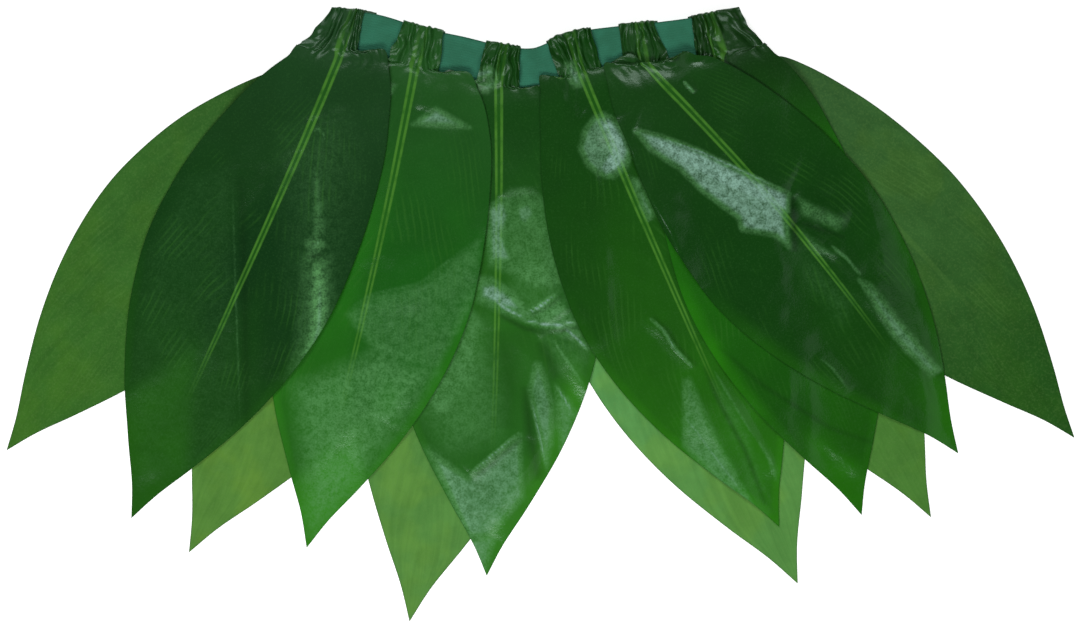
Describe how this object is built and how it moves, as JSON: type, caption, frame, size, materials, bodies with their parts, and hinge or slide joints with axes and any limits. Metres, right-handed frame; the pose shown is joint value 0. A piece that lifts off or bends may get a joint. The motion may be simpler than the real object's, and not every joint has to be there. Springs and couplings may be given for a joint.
{
  "type": "ti leaf skirt",
  "caption": "Flat-laid skirt of broad pointed cloth leaves, gathered in two layers on an elastic waistband.",
  "frame": {"origin": "middle of the laid skirt's outline, on the plane that it lies on", "axes": "+X to the right of the picture, +Y towards the waist, +Z out of the front of the skirt"},
  "size_m": [0.685, 0.3946, 0.0191],
  "materials": {
    "leaf_front": "satin, dark green leaf print with a pale midrib and fine veins",
    "leaf_back": "matt, the paler wrong side of the same printed cloth",
    "elastic": "matt, woven blue-green elastic"
  },
  "bodies": {
    "root": {"waistband": "elastic", "front_leaf_1": "leaf_front", "front_leaf_2": "leaf_front", "front_leaf_3": "leaf_front", "front_leaf_4": "leaf_front", "front_leaf_5": "leaf_front", "front_leaf_6": "leaf_front", "back_leaf_1": "leaf_back", "back_leaf_2": "leaf_back", "back_leaf_3": "leaf_back", "back_leaf_4": "leaf_back", "back_leaf_5": "leaf_back", "back_leaf_6": "leaf_back"}
  },
  "joints": []
}
